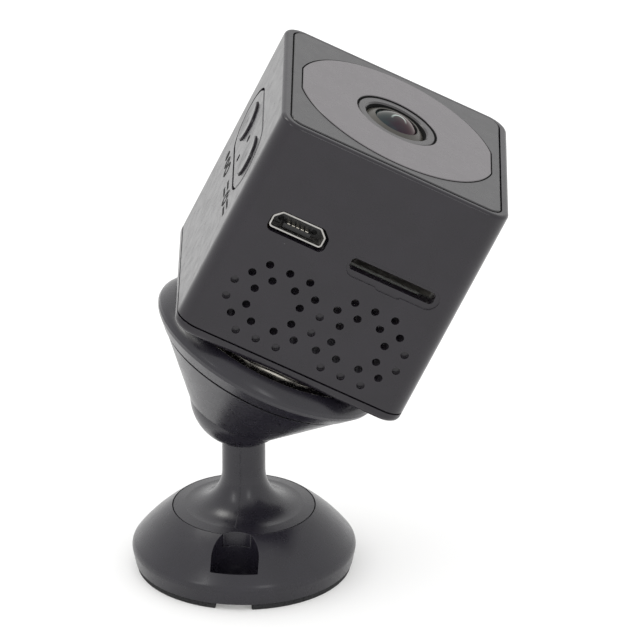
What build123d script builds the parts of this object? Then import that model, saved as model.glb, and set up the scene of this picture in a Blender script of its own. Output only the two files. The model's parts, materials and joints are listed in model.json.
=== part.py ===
from build123d import *
from math import cos, radians
import os

# Cube security camera on a magnetic ball-joint stand, millimetres.
# Row frame: origin at the middle of the foam pad's underside, +Z up, the stand's two wall-screw
# pockets on the Y axis, the lens looking up and towards +X.

# ---------------------------------------------------------------- driving dimensions
# head position
ball_height = 25.1          # ball centre above the surface the stand rests on
head_swivel = 4.7           # head turned about +Z, degrees
head_tilt = 26.0            # lens axis away from vertical, degrees
camera_side_shift = 1.45    # camera body off the cup's axis, along its width
camera_back_shift = 3.0     # camera body off the cup's axis, along its depth
magnet_face = 10.2          # magnet's face above the ball centre, along the cup's axis

# camera case: width along local X, depth along local Y, height along local Z (the lens axis)
case_width = 33.0
case_height = 33.2
case_corner = 2.9
case_wall = 1.8
case_edge = 0.5
cover_thickness = 1.35
parting_gap = 0.25
inner_width = case_width - 2 * case_wall

# lens face
window_width = 30.8
window_depth = 31.2
window_corner = 2.0
bezel_top = case_height + 0.12
bezel_thickness = 1.6
bezel_gap = 0.24
disc_top = bezel_top + 0.1
disc_radius = 14.2
disc_half_flat = 13.8
disc_thickness = 0.9
disc_gap = 0.2
ring_radius = 5.62
ring_bore = 4.45
ring_gap = 0.25
ring_top = disc_top - 0.17
barrel_radius = 4.2
barrel_bore = 3.1
barrel_rim = case_height + 0.05
lens_radius = 3.0
lens_edge = barrel_rim - 0.35
crown_radius = 4.4

# side with the sockets, distances below the lens face
usb_side = -7.8
usb_below = 13.1
usb_width = 7.6
usb_height = 2.64
usb_chamfer = 1.0
usb_corner = 0.5
usb_shell_wall = 0.2
slot_side = 6.5
slot_below = 14.4
slot_width = 12.2
slot_height = 1.75
slot_recess_width = 13.4
slot_recess_height = 3.2
slot_recess_below = 14.55
nail_notch_width = 4.0
nail_notch_drop = 1.1
card_front = -14.0
vent_radius = 0.55
vent_blind_depth = 0.55
vent_rows = {"first": 19.3, "second": 21.25, "third": 23.2, "fourth": 25.75, "fifth": 27.7, "sixth": 29.7}
vent_short = 2.92           # hole pitch in the three-hole rows
vent_near = 1.64            # inner holes of the four-hole rows, from the group's middle
vent_far = 4.57             # outer holes of the four-hole rows
vent_inner = 3.28           # through holes of the two middle rows
vent_outer = 6.2            # blind holes of the two middle rows, and half the pitch of the two groups
vent_middle = 0.2           # middle of the pattern along the width

# side with the buttons
strip_below = 10.85
strip_length = 21.3
strip_height = 8.9
strip_gap = 0.3
button_radius = 2.75
button_pitch = 11.6
button_gap = 0.15
button_rise = 0.3           # keys stand this far out of the case, which is also their travel
button_dish_radius = 30.0
button_dish_depth = 0.1
indicator_radius = 0.55
indicator_drop = 3.1

# electronics
board_level = 16.75         # underside of the main board above the camera's back face
board_thickness = 1.0
board_width = 28.6
sensor_board_level = 22.0
lamp_board_level = 29.2
post_radius = 1.6
boss_radius = 1.95
boss_place = 12.9
screw_radius = 0.65
board_posts = [(-8.0, 13.4), (8.0, 13.4), (-2.2, -13.4)]
pilot_radius = 0.72

# stand
pad_thickness = 0.9
pad_radius = 14.4
pad_slot_width = 4.8
rim_radius = 15.15
rim_foot_radius = 14.65
rim_top = 3.3
rim_rounding = 1.3
collar_radius = 9.65
plateau_radius = 9.5
plateau_height = 8.75
floor_level = 2.4
stem_radius = 2.9
stem_fillet = 5.1
plateau_rise = 0.25
ball_radius = 7.15
pocket_radius = 3.2
pocket_place = 12.0
pocket_outer_radius = 13.8
wall_screw_radius = 1.5
plate_radius = 8.4
plate_thickness = 1.3

# cup
cap_gap = 0.05
cap_thickness = 0.5
cap_half_angle = 50.0
cap_room_level = -0.3       # the cup is wide enough for the cap above this level
cup_lip_radius = 6.6
cup_lip_level = -3.25
cup_shoulder_radius = 13.9
cup_shoulder_level = 4.9
spigot_radius = 13.2
cup_top = 8.4
pot_radius = 13.3
pot_wall = 0.8
pot_floor = 0.6


# ---------------------------------------------------------------- helpers
head = Pos(0, 0, ball_height) * Rot(0, 0, head_swivel) * Rot(0, head_tilt, 0)
camera = head * Pos(camera_side_shift, camera_back_shift, magnet_face)


def below(distance):
    """Height above the camera's back face of a point this far below the lens face."""
    return case_height - distance


def block(x, y, z, size_x, size_y, size_z):
    """Box centred at x, y with its underside at z."""
    return Pos(x, y, z) * Box(size_x, size_y, size_z, align=(Align.CENTER, Align.CENTER, Align.MIN))


def post(x, y, z, radius, height):
    """Upright cylinder with its foot at z."""
    return Pos(x, y, z) * Cylinder(radius, height, align=(Align.CENTER, Align.CENTER, Align.MIN))


def rounded_block(x, y, z, size_x, size_y, size_z, corner):
    """Box with rounded upright edges."""
    return Pos(x, y, z) * extrude(RectangleRounded(size_x, size_y, corner), size_z)


def turned(points):
    """Solid of revolution about Z from radius and height points."""
    outline = Polyline(*[(r, 0, z) for r, z in points], close=True)
    return revolve(make_face(outline), Axis.Z)


def from_side(shape, side, height):
    """Place a shape drawn in XY, thickness +Z, on the socket side, looking along +Y."""
    return Pos(side, -case_width / 2, height) * Rot(-90, 0, 0) * shape


def from_left(shape, place, height):
    """Place a shape drawn in XY, thickness +Z, on the button side, looking along +X."""
    return Pos(-case_width / 2, place, height) * Rot(0, 90, 0) * shape


def save(node, *solids):
    """Write one named node as a STEP file."""
    group = [part for solid in solids for part in solid.solids()]
    shape = group[0] if len(group) == 1 else Compound(children=group)
    shape.label = node
    export_step(shape, f"parts/{node}.step")


def save_in(place, node, *solids):
    """Write a node whose solids are drawn in the cup's or the camera's own frame."""
    save(node, *[place * solid for solid in solids])


# ---------------------------------------------------------------- stand
def pocket_cut(direction, bottom, top):
    """Upright pocket over a wall screw: round towards the stem, flat towards the rim."""
    outer = Circle(pocket_outer_radius)
    lane = Pos(0, direction * (pocket_place + pocket_radius)) * Rectangle(2 * pocket_radius, 2 * pocket_radius)
    plan = outer & (Pos(0, direction * pocket_place) * Circle(pocket_radius) + lane)
    return Pos(0, 0, bottom) * extrude(plan, top - bottom)


def make_foam_pad():
    pad = post(0, 0, 0, pad_radius, pad_thickness)
    for direction in (-1, 1):
        slot = block(0, direction * (pocket_place + pad_radius / 2), 0, pad_slot_width, pad_radius, pad_thickness)
        pad -= slot + post(0, direction * pocket_place, 0, pad_slot_width / 2, pad_thickness)
    return pad


def make_base_ring():
    profile = Polyline(
        (plate_radius + 0.2, 0, pad_thickness),
        (rim_foot_radius, 0, pad_thickness),
        (rim_radius, 0, rim_top),
    )
    cone = ThreePointArc(
        (rim_radius, 0, rim_top),
        ((rim_radius + collar_radius) / 2 + 0.2, 0, (rim_top + plateau_height) / 2 + 0.25),
        (collar_radius, 0, plateau_height),
    )
    seat_level = plateau_height - 1.9
    inside = Polyline(
        (collar_radius, 0, plateau_height),
        (collar_radius, 0, seat_level),
        (7.6, 0, seat_level),
        (7.6, 0, pad_thickness + plate_thickness + 0.1),
        (plate_radius + 0.2, 0, pad_thickness + plate_thickness + 0.1),
        (plate_radius + 0.2, 0, pad_thickness),
    )
    ring = revolve(make_face(profile + cone + inside), Axis.Z)
    shoulder = ring.edges().filter_by_position(Axis.Z, rim_top - 0.01, rim_top + 0.01)
    ring = fillet(shoulder, rim_rounding)
    for direction in (-1, 1):
        ring -= pocket_cut(direction, floor_level, plateau_height + 1)
        ring -= post(0, direction * pocket_place, 0, wall_screw_radius, floor_level + 1)
    return ring


def make_ball_stem():
    foot = plateau_height - 1.8
    neck = ball_height - (ball_radius**2 - stem_radius**2) ** 0.5
    fillet_radius = stem_fillet
    centre_r = stem_radius + fillet_radius
    centre_z = plateau_height + plateau_rise + fillet_radius
    diagonal = fillet_radius * 0.5**0.5
    start = Polyline((0, 0, neck - 1), (0, 0, foot - 4.6), (3.4, 0, foot - 4.6), (3.4, 0, foot))
    flange = Polyline((3.4, 0, foot), (plateau_radius, 0, foot), (plateau_radius, 0, plateau_height))
    slope = Line((plateau_radius, 0, plateau_height), (centre_r, 0, plateau_height + plateau_rise))
    flare = ThreePointArc(
        (centre_r, 0, plateau_height + plateau_rise),
        (centre_r - diagonal, 0, centre_z - diagonal),
        (stem_radius, 0, centre_z),
    )
    shaft = Polyline((stem_radius, 0, centre_z), (stem_radius, 0, neck + 0.5), (0, 0, neck + 0.5), (0, 0, neck - 1))
    body = revolve(make_face(start + flange + slope + flare + shaft), Axis.Z)
    body += Pos(0, 0, ball_height) * Sphere(ball_radius)
    body -= post(0, 0, foot - 4.7, 0.95, 9.0)
    for direction in (-1, 1):
        body -= pocket_cut(direction, foot - 1, plateau_height + 1)
    return body


def make_base_plate():
    plate = post(0, 0, pad_thickness, plate_radius, plate_thickness)
    return plate - post(0, 0, pad_thickness, 1.3, plate_thickness) - post(0, 0, pad_thickness, 2.3, 0.7)


def make_stem_screw():
    screw = post(0, 0, pad_thickness, 2.2, 0.65) + post(0, 0, pad_thickness, 0.9, 8.5)
    slot_x = block(0, 0, pad_thickness, 2.4, 0.4, 0.35)
    slot_y = block(0, 0, pad_thickness, 0.4, 2.4, 0.35)
    return screw - slot_x - slot_y


# ---------------------------------------------------------------- cup, drawn about the ball centre
def make_friction_cap():
    """Spring cap between the ball and the cup, square to the stem."""
    inner = ball_radius + cap_gap
    outer = inner + cap_thickness
    shell = Sphere(outer) - Sphere(inner)
    level = inner * cos(radians(cap_half_angle))
    keep = block(0, 0, level, 3 * outer, 3 * outer, outer)
    return Pos(0, 0, ball_height) * (shell & keep)


def make_socket_cup():
    outline = [
        (0, cup_lip_level),
        (cup_lip_radius - 0.25, cup_lip_level),
        (cup_lip_radius, cup_lip_level + 0.25),
        (cup_shoulder_radius, cup_shoulder_level),
        (spigot_radius, cup_shoulder_level),
        (spigot_radius, cup_top),
        (0, cup_top),
    ]
    body = turned(outline)
    wide = ball_radius + 2 * cap_gap + cap_thickness
    body -= Sphere(wide) & block(0, 0, cap_room_level, 3 * wide, 3 * wide, 2 * wide)
    body -= Sphere(ball_radius + cap_gap)
    groove = turned([(9.6, 4.2), (11.6, 4.2), (11.6, cup_top), (9.6, cup_top)])
    return body - groove


def make_cup_collar():
    foot = Line((13.35, 0, 5.25), (14.15, 0, 5.25))
    heel = ThreePointArc((14.15, 0, 5.25), (14.38, 0, 5.31), (14.55, 0, 5.46))
    slope = Polyline((14.55, 0, 5.46), (15.95, 0, 6.95), (16.2, 0, 7.5), (16.15, 0, 8.0))
    crown = ThreePointArc((16.15, 0, 8.0), (15.35, 0, 9.05), (14.3, 0, 9.6))
    bore = Polyline((14.3, 0, 9.6), (14.0, 0, 9.5), (13.9, 0, 8.35), (13.35, 0, 8.35), (13.35, 0, 5.25))
    return revolve(make_face(foot + heel + slope + crown + bore), Axis.Z)


def make_magnet_pot():
    pot = post(0, 0, cup_top, pot_radius, magnet_face - cup_top)
    pot = chamfer(pot.edges().group_by(Axis.Z)[-1], 0.2)
    return pot - post(0, 0, cup_top + pot_floor, pot_radius - pot_wall, 5)


def make_ring_magnet():
    height = magnet_face - cup_top - pot_floor
    magnet = post(0, 0, cup_top + pot_floor, pot_radius - pot_wall - 0.1, height - 0.05)
    return magnet - post(0, 0, cup_top, 3.0, 5)


# ---------------------------------------------------------------- camera case
def vent_holes():
    """Side and height of each through hole and of each blind hole in the two sound grilles."""
    through = []
    blind = []
    for centre in (vent_middle - vent_outer, vent_middle + vent_outer):
        for step in (-1, 0, 1):
            through.append((centre + step * vent_short, vent_rows["first"]))
            blind.append((centre + step * vent_short, vent_rows["sixth"]))
        for sign in (-1, 1):
            for row in ("second", "fifth"):
                through.append((centre + sign * vent_near, vent_rows[row]))
                through.append((centre + sign * vent_far, vent_rows[row]))
            for row in ("third", "fourth"):
                through.append((centre + sign * vent_inner, vent_rows[row]))
    for place in (-2, 0, 2):
        for row in ("third", "fourth"):
            blind.append((vent_middle + place * vent_outer, vent_rows[row]))
    return through, blind


def usb_outline(margin):
    """Micro-USB receptacle outline, its bevelled side towards +Y."""
    half_width = usb_width / 2 + margin
    half_height = usb_height / 2 + margin
    cut = usb_chamfer + margin * 0.4
    corners = [
        (-half_width, -half_height),
        (half_width, -half_height),
        (half_width, half_height - cut),
        (half_width - cut, half_height),
        (cut - half_width, half_height),
        (-half_width, half_height - cut),
    ]
    return fillet(make_face(Polyline(*corners, close=True)).vertices(), usb_corner + margin)


def strip_outline(margin):
    return SlotOverall(strip_length + 2 * margin, strip_height + 2 * margin, rotation=90)


def make_main_housing():
    bottom = cover_thickness + parting_gap
    shell = rounded_block(0, 0, bottom, case_width, case_width, case_height - bottom, case_corner)
    shell = fillet(shell.edges().group_by(Axis.Z)[-1], case_edge)
    seat = bezel_top - bezel_thickness
    shell -= rounded_block(0, 0, 0, inner_width, inner_width, case_height + 1, 1.4)
    shell -= rounded_block(0, 0, seat, window_width, window_depth, 5, window_corner)
    # columns that carry the main board, and corner bosses for the back cover's screws
    for x, y in board_posts:
        shell += post(x, y, board_level + board_thickness, post_radius, 9.0)
        shell -= post(x, y, board_level, pilot_radius, 4.0)
    for x in (-boss_place, boss_place):
        for y in (-boss_place, boss_place):
            shell += post(x, y, cover_thickness + 1.8, boss_radius, 6.5)
            shell -= post(x, y, bottom, pilot_radius, 5.5)
    # sockets
    usb_hole = extrude(Rot(0, 0, 180) * usb_outline(0.35), 4)
    shell -= from_side(usb_hole, usb_side + 0.12, below(usb_below + 0.12))
    slot_recess = extrude(SlotOverall(slot_recess_width, slot_recess_height), 0.2)
    nail_notch = extrude(Pos(0, nail_notch_drop) * RectangleRounded(nail_notch_width, 1.6, 0.75), 0.2)
    shell -= from_side(slot_recess + nail_notch, slot_side + 0.15, below(slot_recess_below))
    slot_hole = extrude(RectangleRounded(slot_width, slot_height, 0.6), 4)
    shell -= from_side(slot_hole, slot_side, below(slot_below))
    through, blind = vent_holes()
    for side, distance in through:
        shell -= from_side(extrude(Circle(vent_radius), 4), side, below(distance))
    for side, distance in blind:
        shell -= from_side(extrude(Circle(vent_radius), vent_blind_depth), side, below(distance))
    # button strip's opening
    shell -= from_left(extrude(strip_outline(strip_gap), 4), 0, below(strip_below))
    return shell


def make_back_cover():
    plate = rounded_block(0, 0, 0, case_width, case_width, cover_thickness, case_corner)
    plate = fillet(plate.edges().group_by(Axis.Z)[0], 0.9)
    lip_width = inner_width - 0.3
    lip = rounded_block(0, 0, cover_thickness, lip_width, lip_width, 1.4, 1.3)
    lip -= rounded_block(0, 0, 0, lip_width - 2.0, lip_width - 2.0, 6, 1.0)
    plate += lip
    for x in (-boss_place, boss_place):
        for y in (-boss_place, boss_place):
            plate += post(x, y, cover_thickness, 1.5, 1.4)
            plate -= post(x, y, 0, 0.8, 6)
            plate -= post(x, y, 0, 1.45, 0.75)
    return plate


def make_cover_screws():
    screws = []
    for x in (-boss_place, boss_place):
        for y in (-boss_place, boss_place):
            screw = post(x, y, 0.1, 1.35, 0.6) + post(x, y, 0.1, screw_radius, 6.0)
            screws.append(screw - block(x, y, 0, 1.5, 0.3, 0.4) - block(x, y, 0, 0.3, 1.5, 0.4))
    return screws


def make_cover_steel_plate():
    return rounded_block(0, 0, cover_thickness, 21.0, 21.0, 0.8, 1.5)


def flat_sided(radius, half_flat, height):
    return extrude(Circle(radius) & Rectangle(2 * half_flat, 3 * radius), height)


lamp_count = 6
lamp_circle = 9.8


def lamp_places():
    return PolarLocations(lamp_circle, lamp_count, start_angle=30)


def make_front_bezel():
    bottom = bezel_top - bezel_thickness
    width = window_width - 2 * bezel_gap
    depth = window_depth - 2 * bezel_gap
    bezel = rounded_block(0, 0, bottom, width, depth, bezel_thickness, window_corner - bezel_gap)
    bezel = chamfer(bezel.edges().group_by(Axis.Z)[-1], 0.12)
    recess = flat_sided(disc_radius + disc_gap, disc_half_flat + disc_gap, disc_thickness)
    bezel -= Pos(0, 0, disc_top - disc_thickness) * recess
    bezel -= post(0, 0, bottom, ring_radius + ring_gap, bezel_thickness)
    for place in lamp_places():
        bezel -= place * post(0, 0, bottom, 1.75, bezel_thickness)
    return bezel


def make_infrared_window():
    disc = Pos(0, 0, disc_top - disc_thickness) * flat_sided(disc_radius, disc_half_flat, disc_thickness)
    disc -= post(0, 0, disc_top - disc_thickness, ring_radius + ring_gap, disc_thickness)
    return chamfer(disc.edges().group_by(Axis.Z)[-1], 0.08)


def make_lens_ring():
    outline = [
        (ring_bore, ring_top - 3.2),
        (ring_radius, ring_top - 3.2),
        (ring_radius, ring_top - 0.1),
        (ring_radius - 0.1, ring_top),
        (ring_bore + 0.2, ring_top),
        (ring_bore, ring_top - 0.2),
    ]
    return turned(outline)


# ---------------------------------------------------------------- lens and sensor
def make_lens_barrel():
    bottom = sensor_board_level + 3.0
    outline = [
        (2.4, bottom),
        (3.9, bottom),
        (3.9, barrel_rim - 2.8),
        (barrel_radius, barrel_rim - 2.6),
        (barrel_radius, barrel_rim - 0.75),
        (barrel_radius - 0.15, barrel_rim - 0.6),
        (barrel_bore + 0.12, barrel_rim),
        (barrel_bore, barrel_rim - 0.1),
        (barrel_bore, lens_edge - 1.15),
        (2.4, lens_edge - 1.15),
    ]
    return turned(outline)


def make_front_lens():
    centre = lens_edge - (crown_radius**2 - lens_radius**2) ** 0.5
    dome = Pos(0, 0, centre) * Sphere(crown_radius)
    return dome & post(0, 0, lens_edge - 1.1, lens_radius, 3)


def make_rear_lenses():
    bottom = sensor_board_level + 3.3
    return [post(0, 0, bottom + 1.6 * step, 2.3, 0.9) for step in (0, 1, 2)]


def make_lens_holder():
    base = sensor_board_level + 0.8
    holder = block(0, 0, base, 12.0, 12.0, 2.6) + post(0, 0, base, 5.1, 6.6)
    holder -= post(0, 0, base + 2.1, 4.0, 6)
    holder -= block(0, 0, base, 8.0, 8.0, 1.6)
    holder -= post(0, 0, base, 2.6, 4)
    return holder


def make_image_sensor():
    return block(0, 0, sensor_board_level + 0.8, 6.4, 5.6, 0.8)


def make_infrared_filter():
    return block(0, 0, sensor_board_level + 1.75, 6.0, 6.0, 0.3)


def make_sensor_board():
    board = rounded_block(0, 0, sensor_board_level, 17.0, 17.0, 0.8, 1.0)
    for x in (-7.2, 7.2):
        board -= post(x, 0, sensor_board_level, 0.7, 2)
    return board


def make_lamp_board():
    return post(0, 0, lamp_board_level, 13.2, 0.7) - post(0, 0, lamp_board_level, 6.2, 2)


def make_infrared_lamps():
    lamps = []
    for place in lamp_places():
        body = block(0, 0, lamp_board_level + 0.7, 2.2, 2.2, 0.9)
        lamps.append(place * (body + post(0, 0, lamp_board_level + 1.6, 0.9, 0.5)))
    return lamps


# ---------------------------------------------------------------- boards and what is on them
def make_main_board():
    board = block(0, 0, board_level, board_width, board_width, board_thickness)
    edge = board_width / 2
    for x in (-edge, edge):
        for y in (-edge, edge):
            board -= block(x, y, board_level, 7.0, 7.0, board_thickness)
    for x, y in board_posts:
        board -= post(x, y, board_level, screw_radius + 0.15, board_thickness)
    # clearance for the button strip's flange
    return board - block(-edge, 0, board_level, 1.8, 23.4, board_thickness)


def make_board_screws():
    screws = []
    for x, y in board_posts:
        head_disc = post(x, y, board_level - 0.7, 1.15, 0.7)
        screws.append(head_disc + post(x, y, board_level, screw_radius, 3.6))
    return screws


def make_usb_shell():
    depth = 5.2
    outline = extrude(Rot(0, 0, 180) * usb_outline(0), depth)
    hollow = extrude(Rot(0, 0, 180) * usb_outline(-usb_shell_wall), depth - 0.4)
    shell = Pos(usb_side, 0.3 - case_width / 2, below(usb_below)) * Rot(-90, 0, 0) * (outline - hollow)
    leg_top = below(usb_below) - usb_height / 2 + usb_shell_wall / 2
    for x in (usb_side - 3.3, usb_side + 3.3):
        leg_height = leg_top - board_level - board_thickness
        shell += block(x, -12.6, board_level + board_thickness, 0.5, 1.4, leg_height)
    return shell


def make_usb_tongue():
    middle = below(usb_below)
    tongue = block(usb_side, -14.65, middle - 0.95, 3.9, 1.7, 0.6)
    plug = extrude(Rot(0, 0, 180) * usb_outline(-usb_shell_wall - 0.05), 2.4)
    body = Pos(usb_side, -14.3, middle) * Rot(-90, 0, 0) * plug
    for side in (-2.4, 2.4):
        body -= Pos(usb_side + side, -14.3, middle - 0.35) * Rot(-90, 0, 0) * post(0, 0, 0, 0.4, 0.8)
    return tongue + body


def make_usb_contacts():
    middle = below(usb_below)
    contacts = []
    for step in range(-2, 3):
        contacts.append(block(usb_side + 0.65 * step, -14.85, middle - 0.35, 0.4, 1.1, 0.1))
    return contacts


def make_card_socket():
    board_top = board_level + board_thickness
    depth = 13.35
    middle = card_front + depth / 2
    socket = block(slot_side, middle, board_top, 13.6, depth, 2.1)
    return socket - block(slot_side, middle - 1.0, board_top + 0.25, 11.6, depth, 1.65)


def make_card_socket_base():
    board_top = board_level + board_thickness
    return block(slot_side, card_front + 8.7, board_top + 0.27, 11.2, 5.0, 0.5)


def make_shield_can():
    return block(4.0, 2.0, board_level - 1.6, 12.0, 10.0, 1.6) - block(4.0, 2.0, board_level - 1.4, 11.6, 9.6, 1.5)


def make_radio_chip():
    return block(4.0, 2.0, board_level - 0.9, 5.0, 5.0, 0.9)


def make_processor_chip():
    return block(-6.5, 3.0, board_level + board_thickness, 8.0, 8.0, 1.0)


def make_battery():
    return rounded_block(0, 1.0, 3.4, 25.0, 19.0, 7.0, 1.5)


def make_speaker():
    x = vent_middle - vent_outer
    middle = below((vent_rows["third"] + vent_rows["fourth"]) / 2)
    front = -inner_width / 2
    body = Pos(x, front + 0.1, middle) * Rot(-90, 0, 0) * post(0, 0, 0, 4.7, 2.6)
    magnet = Pos(x, front + 2.7, middle) * Rot(-90, 0, 0) * post(0, 0, 0, 2.8, 1.2)
    return body + magnet


def make_microphone():
    x = vent_middle + vent_outer
    middle = below((vent_rows["third"] + vent_rows["fourth"]) / 2)
    return Pos(x, -inner_width / 2 + 0.1, middle) * Rot(-90, 0, 0) * post(0, 0, 0, 2.0, 1.5)


def make_antenna():
    return block(0, inner_width / 2 - 0.2, 4.4, 22.0, 0.2, 6.0)


def make_ribbon_cable():
    """Flat flex from the sensor board's edge down to the main board."""
    y = 9.4
    low = board_level + board_thickness
    top = sensor_board_level - 0.4
    upright = block(0, y, low + 0.5, 7.0, 0.2, top - low - 0.3)
    upper = block(0, y - 1.15, top, 7.0, 2.5, 0.2)
    lower = block(0, y + 0.95, low + 0.3, 7.0, 2.1, 0.2)
    return upright + upper + lower


def make_ribbon_connectors():
    low = board_level + board_thickness
    on_main = block(0, 10.6, low + 0.5, 8.0, 1.6, 0.5) + block(0, 11.7, low, 8.0, 0.6, 1.0)
    on_sensor = block(0, 7.4, sensor_board_level - 1.1, 8.0, 1.2, 0.7)
    on_sensor += block(0, 6.6, sensor_board_level - 1.1, 8.0, 0.6, 1.1)
    return [on_main, on_sensor]


# ---------------------------------------------------------------- buttons
strip_thickness = 1.6
button_height = below(strip_below)


def make_button_strip():
    plate = extrude(strip_outline(0), strip_thickness)
    plate = chamfer(plate.edges().group_by(Axis.Z)[0], 0.15)
    plate += Pos(0, 0, case_wall + 0.05) * extrude(SlotOverall(22.6, 10.2, rotation=90), 0.5)
    plate += Pos(0, 0, strip_thickness - 0.1) * extrude(strip_outline(0), case_wall + 0.2 - strip_thickness)
    for sign in (-1, 1):
        plate -= Pos(0, sign * button_pitch / 2, 0) * Cylinder(button_radius + button_gap, 10)
    for drop in (0, indicator_drop):
        plate -= Pos(drop, 0, 0) * Cylinder(indicator_radius, 10)
    return from_left(plate, 0, button_height)


def make_button(place):
    """Round key with a faintly dished face, a retaining collar behind the strip and a stem."""
    key = post(0, 0, -button_rise, button_radius, 3.0 + button_rise)
    key = fillet(key.edges().group_by(Axis.Z)[0], 0.1)
    key -= Pos(0, 0, button_dish_depth - button_rise - button_dish_radius) * Sphere(button_dish_radius)
    key += post(0, 0, 2.65, button_radius + 0.55, 0.35)
    key += post(0, 0, 2.9, 0.9, 0.35)
    return from_left(key, place, button_height)


def make_light_pipes():
    pipes = []
    for drop in (0, indicator_drop):
        rod = post(drop, 0, 0.35, indicator_radius - 0.05, 3.0)
        pipes.append(from_left(rod, 0, button_height))
    return pipes


board_face = 4.7            # button board's outer face behind the case's outside


def make_button_board():
    low = board_level + board_thickness
    board = block(-case_width / 2 + board_face + 0.4, 0, low, 0.8, 20.0, 8.6)
    return board


def make_tact_switches():
    switches = []
    for sign in (-1, 1):
        body = Pos(0, 0, board_face - 0.75) * Box(3.0, 3.6, 0.75, align=(Align.CENTER, Align.CENTER, Align.MIN))
        plunger = post(0, 0, board_face - 1.05, 0.8, 0.35)
        switches.append(from_left(body + plunger, sign * button_pitch / 2, button_height))
    return switches


def make_status_lamps():
    lamps = []
    for drop in (0, indicator_drop):
        lamp = Pos(drop, 0, board_face - 0.6) * Box(0.8, 1.6, 0.6, align=(Align.CENTER, Align.CENTER, Align.MIN))
        lamps.append(from_left(lamp, 0, button_height))
    return lamps


# ---------------------------------------------------------------- write the parts
os.makedirs("parts", exist_ok=True)

save("foam_pad", make_foam_pad())
save("base_ring", make_base_ring())
save("base_plate", make_base_plate())
save("stem_screw", make_stem_screw())
save("ball_stem", make_ball_stem())
save("friction_cap", make_friction_cap())

save_in(head, "socket_cup", make_socket_cup())
save_in(head, "cup_collar", make_cup_collar())
save_in(head, "magnet_pot", make_magnet_pot())
save_in(head, "ring_magnet", make_ring_magnet())

save_in(camera, "main_housing", make_main_housing())
save_in(camera, "back_cover", make_back_cover())
save_in(camera, "cover_screws", *make_cover_screws())
save_in(camera, "cover_steel_plate", make_cover_steel_plate())
save_in(camera, "front_bezel", make_front_bezel())
save_in(camera, "infrared_window", make_infrared_window())
save_in(camera, "lens_ring", make_lens_ring())
save_in(camera, "lens_barrel", make_lens_barrel())
save_in(camera, "front_lens", make_front_lens())
save_in(camera, "rear_lenses", *make_rear_lenses())
save_in(camera, "lens_holder", make_lens_holder())
save_in(camera, "infrared_filter", make_infrared_filter())
save_in(camera, "image_sensor", make_image_sensor())
save_in(camera, "sensor_board", make_sensor_board())
save_in(camera, "lamp_board", make_lamp_board())
save_in(camera, "infrared_lamps", *make_infrared_lamps())
save_in(camera, "main_board", make_main_board())
save_in(camera, "board_screws", *make_board_screws())
save_in(camera, "usb_shell", make_usb_shell())
save_in(camera, "usb_tongue", make_usb_tongue())
save_in(camera, "usb_contacts", *make_usb_contacts())
save_in(camera, "card_socket", make_card_socket())
save_in(camera, "card_socket_base", make_card_socket_base())
save_in(camera, "shield_can", make_shield_can())
save_in(camera, "radio_chip", make_radio_chip())
save_in(camera, "processor_chip", make_processor_chip())
save_in(camera, "battery", make_battery())
save_in(camera, "speaker", make_speaker())
save_in(camera, "microphone", make_microphone())
save_in(camera, "antenna", make_antenna())
save_in(camera, "ribbon_cable", make_ribbon_cable())
save_in(camera, "ribbon_connectors", *make_ribbon_connectors())
save_in(camera, "button_strip", make_button_strip())
save_in(camera, "mode_button", make_button(button_pitch / 2))
save_in(camera, "power_button", make_button(-button_pitch / 2))
save_in(camera, "light_pipes", *make_light_pipes())
save_in(camera, "button_board", make_button_board())
save_in(camera, "tact_switches", *make_tact_switches())
save_in(camera, "status_lamps", *make_status_lamps())
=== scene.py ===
"""Looks of a cube security camera on a magnetic ball-joint stand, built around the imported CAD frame."""

import json
import math

import bmesh
import bpy
from mathutils import Matrix, Vector


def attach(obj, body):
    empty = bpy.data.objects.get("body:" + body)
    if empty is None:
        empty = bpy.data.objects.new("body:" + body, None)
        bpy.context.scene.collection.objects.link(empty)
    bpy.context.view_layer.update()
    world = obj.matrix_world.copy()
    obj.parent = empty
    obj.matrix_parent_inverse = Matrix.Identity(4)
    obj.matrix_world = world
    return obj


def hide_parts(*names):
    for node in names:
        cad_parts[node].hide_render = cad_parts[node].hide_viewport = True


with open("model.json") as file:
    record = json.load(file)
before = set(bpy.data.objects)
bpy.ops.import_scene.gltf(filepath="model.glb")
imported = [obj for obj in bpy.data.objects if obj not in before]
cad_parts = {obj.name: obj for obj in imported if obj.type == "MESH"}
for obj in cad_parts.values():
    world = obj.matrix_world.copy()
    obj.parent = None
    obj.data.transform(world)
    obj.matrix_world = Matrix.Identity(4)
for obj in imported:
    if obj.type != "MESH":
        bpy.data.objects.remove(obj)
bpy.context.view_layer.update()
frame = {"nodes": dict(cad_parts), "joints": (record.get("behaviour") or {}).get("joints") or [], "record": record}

MM = 0.001
scene = bpy.context.scene
joints = {joint["name"]: joint for joint in frame["joints"]}
mounts = {mount["name"]: mount for mount in frame["record"]["mounts"]}

# the head's own directions: across the lens face, towards its far edge, and along the lens axis
ACROSS = Vector(joints["mode_press"]["axis"]).normalized()
BACK = Vector(joints["ball_tilt"]["axis"]).normalized()
LENS_AXIS = Vector(joints["camera_spin"]["axis"]).normalized()


def placed(origin):
    """Matrix from the head's own millimetres to the row frame."""
    turn = Matrix((ACROSS, BACK, LENS_AXIS)).transposed().to_4x4()
    return Matrix.Translation(origin) @ turn @ Matrix.Scale(MM, 4)


CASE = placed(Vector(mounts["camera_back"]["pos_m"]))       # origin at the middle of the case's back face
STAND = Matrix.Scale(MM, 4)                                 # origin under the stem, on the table


# ---------------------------------------------------------------- camera, floor and light
CAMERA_PLACE = (0.09973, -0.96431, 0.47673)
CAMERA_PITCH = 65.55        # degrees up from straight down
CAMERA_YAW = 5.3
CAMERA_LENS_MM = 450.0
SENSOR_WIDTH_MM = 36.0
CLIP_NEAR = 0.05
CLIP_FAR = 20.0

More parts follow.
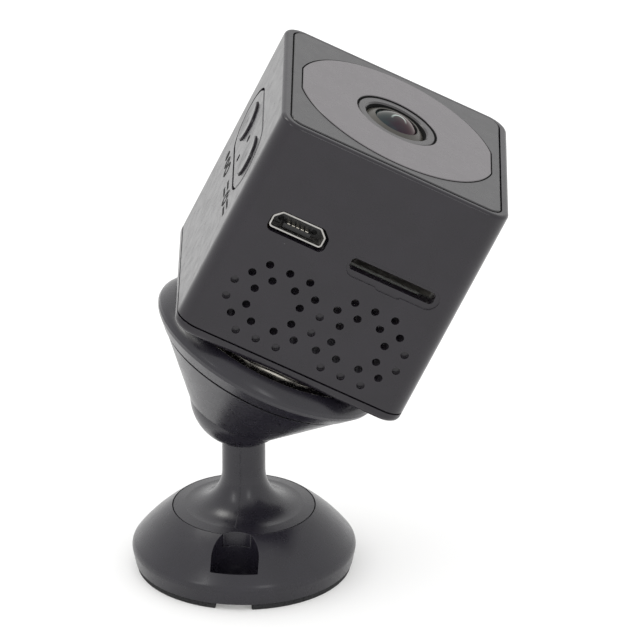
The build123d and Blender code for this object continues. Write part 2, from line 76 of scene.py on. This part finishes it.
WHITE = (1.0, 1.0, 1.0)
WORLD_STRENGTH = 1.09
FLOOR_HALF_WIDTH = 3.0
LIGHT_TARGET = (0.0, 0.0, 0.035)

# name, place, width and length in metres, power, colour
LIGHTS = (
    ("overhead_softbox", (-0.27, 0.15, 0.62), 0.2, 0.2, 0.9, (1.0, 0.99, 0.95)),
    ("left_strip", (-0.40, -0.46, 0.42), 0.05, 0.30, 0.4, WHITE),
    ("right_strip", (0.32, -0.62, 0.38), 0.04, 0.30, 0.3, WHITE),
)


def make_camera():
    data = bpy.data.cameras.new("camera")
    data.sensor_width = SENSOR_WIDTH_MM
    data.lens = CAMERA_LENS_MM
    data.clip_start = CLIP_NEAR
    data.clip_end = CLIP_FAR
    camera = bpy.data.objects.new("camera", data)
    camera.location = CAMERA_PLACE
    camera.rotation_euler = (math.radians(CAMERA_PITCH), 0.0, math.radians(CAMERA_YAW))
    scene.collection.objects.link(camera)
    scene.camera = camera


def area_light(name, place, width, length, power, colour):
    """Soft rectangular light aimed at the object, casting no shadow."""
    data = bpy.data.lights.new(name, "AREA")
    data.shape = "RECTANGLE"
    data.size = width
    data.size_y = length
    data.energy = power
    data.color = colour
    data.use_shadow = False
    light = bpy.data.objects.new(name, data)
    light.location = place
    light.rotation_euler = (Vector(LIGHT_TARGET) - Vector(place)).to_track_quat("-Z", "Y").to_euler()
    scene.collection.objects.link(light)


def make_world():
    world = bpy.data.worlds.new("studio")
    world.use_nodes = True
    background = world.node_tree.nodes["Background"]
    background.inputs["Color"].default_value = (*WHITE, 1.0)
    background.inputs["Strength"].default_value = WORLD_STRENGTH
    scene.world = world


def make_floor():
    data = bpy.data.meshes.new("floor")
    shape = bmesh.new()
    bmesh.ops.create_grid(shape, x_segments=4, y_segments=4, size=FLOOR_HALF_WIDTH)
    shape.to_mesh(data)
    shape.free()
    floor = bpy.data.objects.new("floor", data)
    scene.collection.objects.link(floor)
    return floor


# lens elements in millimetres, levels above the case's back face
FRONT_ELEMENT = {"radius": 3.0, "edge": 32.9, "foot": 31.8, "dome": 4.4, "hollow": 3.4, "hollow_reach": 2.35}
INNER_ELEMENTS = ((25.3, 2.3, 6.0), (26.9, 2.3, 6.0), (30.6, 2.34, 2.9))     # foot, radius, dome radius
INNER_EDGE = 0.45           # thickness at their rims


# ---------------------------------------------------------------- materials
class Surface:
    """A procedural material under construction: a Principled shader and the nodes that feed it."""

    def __init__(self, name, roughness, metallic=0.0, ior=1.5):
        self.material = bpy.data.materials.new(name)
        self.material.use_nodes = True
        self.tree = self.material.node_tree
        self.shader = self.tree.nodes["Principled BSDF"]
        self.shader.inputs["Metallic"].default_value = metallic
        self.shader.inputs["IOR"].default_value = ior
        self.shader.inputs["Roughness"].default_value = roughness
        coordinates = self.node("ShaderNodeTexCoord")
        self.place = coordinates.outputs["Object"]
        self.own_normal = coordinates.outputs["Normal"]
        self.rounded = None

    def node(self, kind, **settings):
        made = self.tree.nodes.new(kind)
        for key, value in settings.items():
            setattr(made, key, value)
        return made

    def link(self, source, target):
        self.tree.links.new(source, target)

    def noise(self, size_mm, detail=3.0):
        """Noise from 0 to 1 with features of about this size."""
        mapping = self.node("ShaderNodeMapping")
        mapping.inputs["Scale"].default_value = [1.0 / (size_mm * MM)] * 3
        noise = self.node("ShaderNodeTexNoise")
        noise.inputs["Scale"].default_value = 1.0
        noise.inputs["Detail"].default_value = detail
        self.link(self.place, mapping.inputs["Vector"])
        self.link(mapping.outputs["Vector"], noise.inputs["Vector"])
        return noise.outputs["Fac"]

    def ramp(self, source, low, high, low_value, high_value):
        """Scalar remapped from [low, high] to [low_value, high_value] and clamped."""
        made = self.node("ShaderNodeMapRange")
        made.inputs["From Min"].default_value = low
        made.inputs["From Max"].default_value = high
        made.inputs["To Min"].default_value = low_value
        made.inputs["To Max"].default_value = high_value
        self.link(source, made.inputs["Value"])
        return made.outputs["Result"]

    def mix(self, factor, first, second):
        """Colour that is first where factor is 0 and second where it is 1."""
        made = self.node("ShaderNodeMix", data_type="RGBA")
        self.link(factor, made.inputs["Factor"])
        for socket, value in (("A", first), ("B", second)):
            target = [s for s in made.inputs if s.name == socket and s.type == "RGBA"][0]
            if isinstance(value, bpy.types.NodeSocket):
                self.link(value, target)
            else:
                target.default_value = (*value, 1.0)
        return [s for s in made.outputs if s.type == "RGBA"][0]

    def set(self, **values):
        """Uniform values on the shader's own sockets, named with underscores for spaces."""
        for key, value in values.items():
            self.shader.inputs[key.replace("_", " ")].default_value = value

    def colour(self, source):
        self.link(source, self.shader.inputs["Base Color"])

    def roughness(self, source):
        self.link(source, self.shader.inputs["Roughness"])

    def bump(self, *layers):
        """Bump from (height socket, depth in millimetres) layers."""
        normal = self.rounded
        for source, depth in layers:
            made = self.node("ShaderNodeBump")
            made.inputs["Strength"].default_value = 1.0
            made.inputs["Distance"].default_value = depth * MM
            self.link(source, made.inputs["Height"])
            if normal:
                self.link(normal, made.inputs["Normal"])
            normal = made.outputs["Normal"]
        self.link(normal, self.shader.inputs["Normal"])

    def specks(self, spacing_mm, radius_mm, share):
        """Scattered dust: 1 in small round specks, in this share of the cells, and 0 elsewhere."""
        cells = self.node("ShaderNodeTexVoronoi", feature="F1")
        cells.inputs["Scale"].default_value = 1.0 / (spacing_mm * MM)
        self.link(self.place, cells.inputs["Vector"])
        reach = radius_mm / spacing_mm
        near = self.ramp(cells.outputs["Distance"], 0.6 * reach, reach, 1.0, 0.0)
        split = self.node("ShaderNodeSeparateColor")
        self.link(cells.outputs["Color"], split.inputs["Color"])
        chosen = self.node("ShaderNodeMath", operation="LESS_THAN")
        chosen.inputs[1].default_value = share
        self.link(split.outputs["Red"], chosen.inputs[0])
        both = self.node("ShaderNodeMath", operation="MULTIPLY")
        self.link(near, both.inputs[0])
        self.link(chosen.outputs[0], both.inputs[1])
        return both.outputs[0]

    def maths(self, operation, first, second=None):
        made = self.node("ShaderNodeMath", operation=operation)
        for index, value in enumerate((first, second)):
            if isinstance(value, bpy.types.NodeSocket):
                self.link(value, made.inputs[index])
            elif value is not None:
                made.inputs[index].default_value = value
        return made.outputs[0]

    def dot(self, first, second):
        made = self.node("ShaderNodeVectorMath", operation="DOT_PRODUCT")
        self.link(first, made.inputs[0])
        if isinstance(second, bpy.types.NodeSocket):
            self.link(second, made.inputs[1])
        else:
            made.inputs[1].default_value = second
        return made.outputs["Value"]

    def edges(self, radius_mm):
        """Softens the piece's edges, and gives 1 along them and 0 on flats."""
        bevel = self.node("ShaderNodeBevel", samples=4)
        bevel.inputs["Radius"].default_value = radius_mm * MM
        self.rounded = bevel.outputs["Normal"]
        true_normal = self.node("ShaderNodeNewGeometry").outputs["True Normal"]
        return self.ramp(self.dot(self.rounded, true_normal), 0.995, 0.85, 0.0, 1.0)

    def facing_clear_of_painted_shade(self, direction):
        """1 on faces turned towards a direction and 0 on walls square to it."""
        return self.ramp(self.dot(self.own_normal, direction), 0.35, 0.6, 0.0, 1.0)


GRAIN_MM = 0.22             # the mould's own texture
GRAIN_DEPTH_MM = 0.0007
SINK_MM = 9.0               # shallow waves where the plastic cooled
SINK_DEPTH_MM = 0.0015
DUST_SPACING_MM = 3.4
DUST_RADIUS_MM = 0.09
DUST_SHARE = 0.16


def scaled(tone, factor):
    return tuple(factor * c for c in tone)


def moulded_plastic(name, tone, roughness, grain_mm=GRAIN_MM, grain_depth_mm=GRAIN_DEPTH_MM, spread=0.2,
                    wear=0.0, dust=0.1, top=None, ior=1.47):
    """Moulded plastic: soft mottling, fine grain and faint smears.

    Where asked, edges wear over this many millimetres, dust lightens it by this much, and only faces
    turned towards top keep the colour, the walls square to it being black and dull as painted shade.
    """
    surface = Surface(name, roughness, ior=ior)
    mottle = surface.ramp(surface.noise(4.0, 4.0), 0.35, 0.65, 0.0, 1.0)
    body = surface.mix(mottle, scaled(tone, 1.0 - spread / 2), scaled(tone, 1.0 + spread / 2))
    if wear:
        body = surface.mix(surface.edges(wear), body, tuple(1.5 * c + 0.008 for c in tone))
    if dust:
        specks = surface.specks(DUST_SPACING_MM, DUST_RADIUS_MM, DUST_SHARE)
        body = surface.mix(specks, body, tuple(c + dust for c in tone))
    smear = surface.ramp(surface.noise(1.6, 4.0), 0.3, 0.7, roughness - 0.03, roughness + 0.04)
    if top:
        # painted shade: walls square to the given direction turn near-black, standing in for the shade in the gaps
        # between the lens face's parts
        face = surface.facing_clear_of_painted_shade(top)
        body = surface.mix(face, (0.002, 0.002, 0.002), body)
        walls = surface.node("ShaderNodeMix", data_type="FLOAT")
        surface.link(face, walls.inputs["Factor"])
        walls.inputs["A"].default_value = 0.95
        surface.link(smear, walls.inputs["B"])
        smear = walls.outputs["Result"]
    surface.colour(body)
    surface.roughness(smear)
    surface.bump((surface.noise(grain_mm, 2.0), grain_depth_mm), (surface.noise(SINK_MM, 2.0), SINK_DEPTH_MM))
    return surface.material


def metal(name, tone, roughness, depth_mm=0.004):
    """Plated metal: stains, uneven polish and a fine grain."""
    surface = Surface(name, roughness, metallic=1.0)
    stain = surface.ramp(surface.noise(1.5, 5.0), 0.35, 0.7, 0.0, 1.0)
    surface.colour(surface.mix(stain, tone, scaled(tone, 0.8)))
    surface.roughness(surface.ramp(surface.noise(0.8, 4.0), 0.3, 0.7, roughness - 0.06, roughness + 0.1))
    surface.bump((surface.noise(0.4, 2.0), depth_mm))
    return surface.material


FOAM_CELL_MM = 0.35


def foam_rubber(name, tone):
    """Closed-cell foam: open pores cut through at the edge, painted dark inside as painted shade, and a dry
    surface between them.
    """
    surface = Surface(name, 0.9)
    cells = surface.node("ShaderNodeTexVoronoi", feature="F1")
    cells.inputs["Scale"].default_value = 1.0 / (FOAM_CELL_MM * MM)
    surface.link(surface.place, cells.inputs["Vector"])
    pores_and_painted_shade = surface.ramp(cells.outputs["Distance"], 0.1, 0.55, 0.0, 1.0)
    # painted shade: the pores are coloured much darker than the foam between them
    surface.colour(surface.mix(pores_and_painted_shade, scaled(tone, 0.4), scaled(tone, 1.5)))
    surface.roughness(surface.ramp(pores_and_painted_shade, 0.0, 1.0, 0.95, 0.8))
    surface.bump((pores_and_painted_shade, 0.08), (surface.noise(1.5, 3.0), 0.05))
    return surface.material


PAINTED_RIM_HIGHLIGHT_RADIUS = 1.0     # painted highlight: the next element's rim, painted as it shows through the front one
PAINTED_RIM_HIGHLIGHT_SHIFT = 1.0


def lens_glass(name, film_nm, film_ior, left_painted_reflection, right_painted_reflection, painted_ring_highlight):
    """Coated dark lens, opaque: painted reflection tints, cool on one side and warm on the other, and a painted
    highlight ring for the rim behind it.
    """
    surface = Surface(name, 0.03, ior=1.5)
    offset = surface.node("ShaderNodeVectorMath", operation="SUBTRACT")
    surface.link(surface.place, offset.inputs[0])
    offset.inputs[1].default_value = CASE @ Vector((0.0, 0.0, FRONT_ELEMENT["edge"]))
    across = surface.dot(offset.outputs["Vector"], ACROSS / MM)
    back = surface.dot(offset.outputs["Vector"], BACK / MM)
    blotches = surface.ramp(surface.noise(1.1, 3.0), 0.3, 0.7, -0.7, 0.7)
    side = surface.maths("ADD", across, blotches)
    # painted reflection: the lens colour shifts from one tint to the other across the face
    body = surface.mix(surface.ramp(side, -1.6, 1.0, 0.0, 1.0), left_painted_reflection, right_painted_reflection)
    nearer = surface.maths("ADD", back, PAINTED_RIM_HIGHLIGHT_SHIFT)
    squares = [surface.maths("MULTIPLY", value, value) for value in (across, nearer)]
    reach = surface.maths("SQRT", surface.maths("ADD", *squares))
    rim = surface.maths("ABSOLUTE", surface.maths("SUBTRACT", reach, PAINTED_RIM_HIGHLIGHT_RADIUS))
    line = surface.ramp(rim, 0.03, 0.22, 1.0, 0.0)
    # painted highlight: a bright ring where the rim of the element behind would show through
    painted_rim_highlight = surface.maths("MULTIPLY", line, surface.ramp(back, -1.1, -0.2, 0.0, 1.0))
    surface.colour(surface.mix(painted_rim_highlight, body, painted_ring_highlight))
    surface.roughness(surface.ramp(surface.noise(0.7, 3.0), 0.3, 0.7, 0.02, 0.06))
    surface.set(Thin_Film_Thickness=film_nm, Thin_Film_IOR=film_ior)
    surface.bump((surface.noise(2.0, 2.0), 0.0005))
    return surface.material


CASE_TONE = (0.0105, 0.0085, 0.0125)
STAND_TONE = (0.0112, 0.0100, 0.0150)

# slot: how it's built, and its settings
MATERIALS = {
    "foam": (foam_rubber, dict(tone=(0.008, 0.008, 0.009))),
    "stand_plastic": (
        moulded_plastic,
        dict(tone=STAND_TONE, roughness=0.27, grain_depth_mm=0.0005, wear=0.1, ior=1.5),
    ),
    "zinc_steel": (metal, dict(tone=(0.62, 0.62, 0.63), roughness=0.35)),
    "cap_plastic": (
        moulded_plastic,
        dict(tone=(0.58, 0.58, 0.56), roughness=0.4, grain_mm=0.3, grain_depth_mm=0.004),
    ),
    "nickel": (metal, dict(tone=(0.60, 0.57, 0.51), roughness=0.16)),
    "case_plastic": (
        moulded_plastic,
        dict(tone=CASE_TONE, roughness=0.25, grain_depth_mm=0.0004, wear=0.12, dust=0.05),
    ),
    "key_plastic": (moulded_plastic, dict(tone=CASE_TONE, roughness=0.25, wear=0.1, dust=0.0)),
    # bezel, window, ring and barrel: near-black painted shade on their walls square to the lens axis
    "bezel_plastic": (
        moulded_plastic,
        dict(tone=(0.034, 0.033, 0.035), roughness=0.28, spread=0.06, dust=0.03, top=LENS_AXIS),
    ),
    "window_plastic": (
        moulded_plastic,
        dict(tone=(0.125, 0.115, 0.122), roughness=0.28, spread=0.04, dust=0.04, top=LENS_AXIS),
    ),
    "ring_plastic": (
        moulded_plastic,
        dict(tone=(0.046, 0.043, 0.045), roughness=0.28, spread=0.06, dust=0.0, top=LENS_AXIS),
    ),
    "barrel_black": (
        moulded_plastic,
        dict(tone=(0.06, 0.056, 0.048), roughness=0.34, dust=0.0, top=LENS_AXIS),
    ),
    # lens colours: painted reflection tints on either side and a painted highlight ring, on opaque glass
    "coated_glass": (
        lens_glass,
        dict(
            film_nm=112.0,
            film_ior=1.38,
            left_painted_reflection=(0.02, 0.031, 0.031),
            right_painted_reflection=(0.024, 0.009, 0.014),
            painted_ring_highlight=(0.42, 0.5, 0.47),
        ),
    ),
    "inner_glass": (
        lens_glass,
        dict(
            film_nm=150.0,
            film_ior=1.9,
            left_painted_reflection=(0.01, 0.006, 0.012),
            right_painted_reflection=(0.012, 0.004, 0.01),
            painted_ring_highlight=(0.02, 0.02, 0.02),
        ),
    ),
    "silicon": (
        moulded_plastic,
        dict(tone=(0.015, 0.015, 0.016), roughness=0.4, grain_mm=0.2, grain_depth_mm=0.004),
    ),
    "circuit_board": (
        moulded_plastic,
        dict(tone=(0.008, 0.026, 0.016), roughness=0.3, grain_mm=0.5, grain_depth_mm=0.006),
    ),
    "lamp_resin": (
        moulded_plastic,
        dict(tone=(0.02, 0.019, 0.021), roughness=0.22, grain_mm=0.5, grain_depth_mm=0.0015, dust=0.0),
    ),
    "tinned_steel": (metal, dict(tone=(0.44, 0.43, 0.41), roughness=0.34, depth_mm=0.0008)),
    "insulator": (
        moulded_plastic,
        dict(tone=(0.012, 0.012, 0.012), roughness=0.45, grain_mm=0.3, grain_depth_mm=0.006),
    ),
    "gold_contacts": (metal, dict(tone=(0.80, 0.76, 0.66), roughness=0.25, depth_mm=0.001)),
    "battery_wrap": (metal, dict(tone=(0.5, 0.5, 0.52), roughness=0.4)),
    "speaker_metal": (metal, dict(tone=(0.05, 0.05, 0.052), roughness=0.5, depth_mm=0.001)),
    "flex_film": (
        moulded_plastic,
        dict(tone=(0.55, 0.23, 0.05), roughness=0.3, grain_mm=0.5, grain_depth_mm=0.006),
    ),
}


def print_ink():
    """Flat printed ink, slightly thin in places."""
    surface = Surface("print_ink", 0.75)
    thin = surface.ramp(surface.noise(0.3, 3.0), 0.4, 0.8, 0.0, 1.0)
    surface.colour(surface.mix(thin, (0.006, 0.006, 0.006), (0.02, 0.02, 0.02)))
    surface.roughness(surface.ramp(thin, 0.0, 1.0, 0.7, 0.85))
    surface.set(Specular_IOR_Level=0.15)
    surface.bump((surface.noise(0.15, 2.0), 0.003))
    return surface.material


def dress_cad_nodes():
    """Gives every CAD node its slot's material, and returns the materials by slot."""
    made = {slot: build(slot, **settings) for slot, (build, settings) in MATERIALS.items()}
    for row in frame["record"]["subparts"]:
        node = frame["nodes"][row["node"]]
        node.data.materials.clear()
        node.data.materials.append(made[row["material_slot"]])
    return made


# ---------------------------------------------------------------- pieces made here
def new_piece(name, shape, place, body, material, smooth_angle=35.0):
    """A bmesh drawn in millimetres, put in place, riding on a CAD body."""
    bmesh.ops.recalc_face_normals(shape, faces=shape.faces)
    shape.transform(place)
    data = bpy.data.meshes.new(name)
    shape.to_mesh(data)
    shape.free()
    data.materials.append(material)
    piece = bpy.data.objects.new(name, data)
    scene.collection.objects.link(piece)
    data.polygons.foreach_set("use_smooth", [True] * len(data.polygons))
    data.set_sharp_from_angle(angle=math.radians(smooth_angle))
    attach(piece, body)
    return piece


def add_prism(shape, outline, low, high):
    """Closed prism over an XY outline."""
    base = [shape.verts.new((x, y, low)) for x, y in outline]
    top = [shape.verts.new((x, y, high)) for x, y in outline]
    shape.faces.new(list(reversed(base)))
    shape.faces.new(top)
    for i in range(len(outline)):
        j = (i + 1) % len(outline)
        shape.faces.new((base[i], base[j], top[j], top[i]))


def arc(centre, radius, start, end, steps):
    """Points along an arc, angles in degrees."""
    angles = [math.radians(start + (end - start) * i / steps) for i in range(steps + 1)]
    return [(centre[0] + radius * math.cos(a), centre[1] + radius * math.sin(a)) for a in angles]


TURNED_SEGMENTS = 96


def add_turned(shape, profile):
    """Closed solid of revolution from radius and height points that start and end on the axis."""
    rings = []
    for radius, height in profile:
        if radius < 1e-6:
            rings.append([shape.verts.new((0.0, 0.0, height))])
            continue
        circle = arc((0.0, 0.0), radius, 0.0, 360.0 - 360.0 / TURNED_SEGMENTS, TURNED_SEGMENTS - 1)
        rings.append([shape.verts.new((x, y, height)) for x, y in circle])
    for lower, upper in zip(rings, rings[1:]):
        for i in range(TURNED_SEGMENTS):
            j = (i + 1) % TURNED_SEGMENTS
            inner = (lower[i % len(lower)], lower[j % len(lower)])
            corners = (*inner, upper[j % len(upper)], upper[i % len(upper)])
            shape.faces.new(list(dict.fromkeys(corners)))


PAD_RADIUS = 14.4
PAD_THICKNESS = 0.9
PAD_SLOT = 2.4              # half width of the slots over the wall screws
PAD_ROUNDING = 0.18
POCKET_PLACE = 12.0         # the wall screws' distance from the stem


def make_foam_pad(material):
    """Slotted foam disc with softly rounded edges."""
    half = math.degrees(math.asin(PAD_SLOT / PAD_RADIUS))
    outline = []
    for turn in (0.0, 180.0):
        outline += arc((0.0, 0.0), PAD_RADIUS, turn - 90.0 + half, turn + 90.0 - half, 48)
        side = 1.0 if turn == 0.0 else -1.0
        outline += arc((0.0, side * POCKET_PLACE), PAD_SLOT, turn, turn - 180.0, 16)
    shape = bmesh.new()
    add_prism(shape, outline, 0.0, PAD_THICKNESS)
    pad = new_piece("foam_disc", shape, STAND, "stand", material)
    rounding = pad.modifiers.new("rounding", "BEVEL")
    rounding.width = PAD_ROUNDING * MM
    rounding.segments = 3
    rounding.limit_method = "ANGLE"
    rounding.angle_limit = math.radians(40.0)
    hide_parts("foam_pad")


CAP_STEPS = 20


def cap(ball_radius, reach, edge_level):
    """Points of a spherical cap from its edge, at radius reach and height edge_level, up to its pole."""
    swing = math.asin(reach / ball_radius)
    centre = edge_level - ball_radius * math.cos(swing)
    angles = [swing * (1.0 - i / CAP_STEPS) for i in range(CAP_STEPS)]
    rim = [(ball_radius * math.sin(a), centre + ball_radius * math.cos(a)) for a in angles]
    return rim + [(0.0, centre + ball_radius)]


def make_front_element(material):
    """Meniscus lens: domed in front, hollow behind."""
    lens = FRONT_ELEMENT
    hollow = list(reversed(cap(lens["hollow"], lens["hollow_reach"], lens["foot"])))
    dome = cap(lens["dome"], lens["radius"], lens["edge"])
    shape = bmesh.new()
    add_turned(shape, hollow + [(lens["radius"], lens["foot"])] + dome)
    element = new_piece("front_element", shape, CASE, "camera", material, 50.0)
    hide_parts("front_lens")


def make_inner_elements(material):
    """Three domed elements inside the lens barrel."""
    shape = bmesh.new()
    for foot, radius, dome in INNER_ELEMENTS:
        add_turned(shape, [(0.0, foot), (radius, foot)] + cap(dome, radius, foot + INNER_EDGE))
    elements = new_piece("inner_elements", shape, CASE, "camera", material, 50.0)
    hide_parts("rear_lenses")


CASE_HALF_WIDTH = 16.5
MARK_HEIGHT = 15.65         # middle of the printed marks above the case's back face
MARK_PLACE = 5.9            # middle of each mark from the middle of the face
MARK_INK = 0.015            # thickness of the ink
DOT_SIZES = (0.75, 0.95, 1.15)
DOT_SPACING = 2.3
DOT_LINE = 0.6
STANDBY_INNER = 0.65
STANDBY_OUTER = 1.2
DASH_PLACE = 3.1            # dashes' distance from the standby sign
DASH_OFFSET = 0.55


def add_band(shape, centre, inner, outer, start, end):
    """Ring segment standing on XY, in the ink's thickness."""
    outline = arc(centre, outer, start, end, 28) + arc(centre, inner, end, start, 28)
    add_prism(shape, outline, 0.0, MARK_INK)


def add_bar(shape, centre, width, height):
    """Rectangle standing on XY, in the ink's thickness."""
    x, y = centre
    w, h = width / 2, height / 2
    add_prism(shape, [(x - w, y - h), (x + w, y - h), (x + w, y + h), (x - w, y + h)], 0.0, MARK_INK)


def make_side_marks(material):
    """Two generic pictograms beside the keys: three setting dots, and a standby sign between dashes."""
    quarter = math.radians(-90.0)
    face = CASE @ Matrix.Translation((-CASE_HALF_WIDTH, 0.0, MARK_HEIGHT)) @ Matrix.Rotation(quarter, 4, "Y")
    face = face @ Matrix.Rotation(quarter, 4, "Z")
    shape = bmesh.new()
    for step, size in zip((-1, 0, 1), DOT_SIZES):
        add_band(shape, (-MARK_PLACE + DOT_SPACING * step, 0.0), size - DOT_LINE, size, 0.0, 354.0)
    add_band(shape, (MARK_PLACE, 0.0), STANDBY_INNER, STANDBY_OUTER, 125.0, 415.0)
    add_bar(shape, (MARK_PLACE, 0.7), 0.45, 1.2)
    for side in (-1, 1):
        for offset in (-DASH_OFFSET, DASH_OFFSET):
            add_bar(shape, (MARK_PLACE + side * DASH_PLACE, offset), 2.6, 0.5)
    new_piece("side_marks", shape, face, "camera", material)


STEM_RADIUS = 2.9
STEM_TOP = 18.8             # where the mould line starts, under the cup
FLARE_RADIUS = 5.1
FLARE_LEVEL = 14.1          # where the straight stem runs out into the flare
FLARE_SWEEP = 88.0          # degrees of the flare that the line follows
FLARE_STEPS = 24
MOULD_LINE_ANGLE = math.radians(-93.0)
RIDGE = ((-0.09, -0.02), (-0.03, 0.045), (0.03, 0.045), (0.09, -0.02))      # its section: aside, lift


def make_mould_line(material):
    """Fine ridge left by the two halves of the mould, down the stem and out over the flare."""
    path = [(STEM_RADIUS, STEM_TOP, 1.0, 0.0)]
    for i in range(FLARE_STEPS + 1):
        a = math.radians(FLARE_SWEEP * i / FLARE_STEPS)
        reach = STEM_RADIUS + FLARE_RADIUS * (1.0 - math.cos(a))
        path.append((reach, FLARE_LEVEL - FLARE_RADIUS * math.sin(a), math.cos(a), math.sin(a)))
    out = Vector((math.cos(MOULD_LINE_ANGLE), math.sin(MOULD_LINE_ANGLE), 0.0))
    across = Vector((-out.y, out.x, 0.0))
    shape = bmesh.new()
    rows = []
    for radius, height, normal_out, normal_up in path:
        base = out * radius + Vector((0.0, 0.0, height))
        normal = out * normal_out + Vector((0.0, 0.0, normal_up))
        rows.append([shape.verts.new(base + across * side + normal * lift) for side, lift in RIDGE])
    for first, second in zip(rows, rows[1:]):
        for i in range(len(RIDGE)):
            j = (i + 1) % len(RIDGE)
            shape.faces.new((first[i], first[j], second[j], second[i]))
    shape.faces.new(rows[0])
    shape.faces.new(rows[-1])
    new_piece("mould_line", shape, STAND, "stand", material, 20.0)


def make_floor_paper():
    """Pale matt paper with a faint cloudiness."""
    paper = Surface("paper", 0.85)
    paper.colour(paper.mix(paper.noise(40.0, 3.0), (0.94, 0.94, 0.94), (0.96, 0.96, 0.96)))
    paper.set(Specular_IOR_Level=0.2)
    return paper.material


make_camera()
make_world()
floor = make_floor()
floor.data.materials.append(make_floor_paper())
for settings in LIGHTS:
    area_light(*settings)
finishes = dress_cad_nodes()
make_foam_pad(finishes["foam"])
make_front_element(finishes["coated_glass"])
make_inner_elements(finishes["inner_glass"])
make_side_marks(print_ink())
make_mould_line(finishes["stand_plastic"])

scene.view_settings.view_transform = "Standard"
